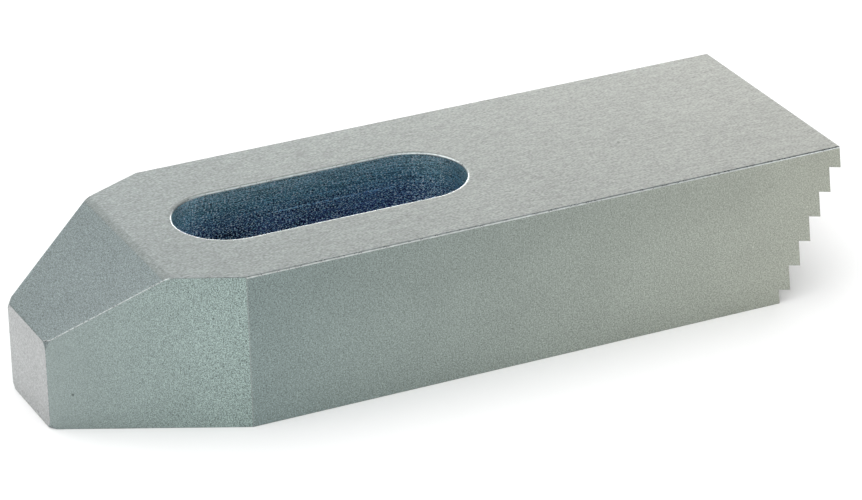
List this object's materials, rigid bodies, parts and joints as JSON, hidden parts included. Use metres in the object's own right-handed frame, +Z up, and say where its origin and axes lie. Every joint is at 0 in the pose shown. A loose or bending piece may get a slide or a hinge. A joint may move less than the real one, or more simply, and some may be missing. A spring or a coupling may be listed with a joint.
{
  "type": "step clamp",
  "caption": "Slotted steel clamp bar with a tapered, sloping nose that presses on the work and a toothed heel that hooks into a step block; a stud passes through the slot.",
  "frame": {"origin": "on the flat underside, midway along the overall length and midway across the width", "axes": "+Y runs along the bar from the nose to the toothed heel, +Z is up along the slot's through direction, +X is across the width"},
  "size_m": [0.054, 0.16, 0.031],
  "materials": {
    "bare_steel": "fine ground and milled, bare, faintly grey-green"
  },
  "bodies": {
    "root": {"clamp_bar": "bare_steel"}
  },
  "joints": []
}
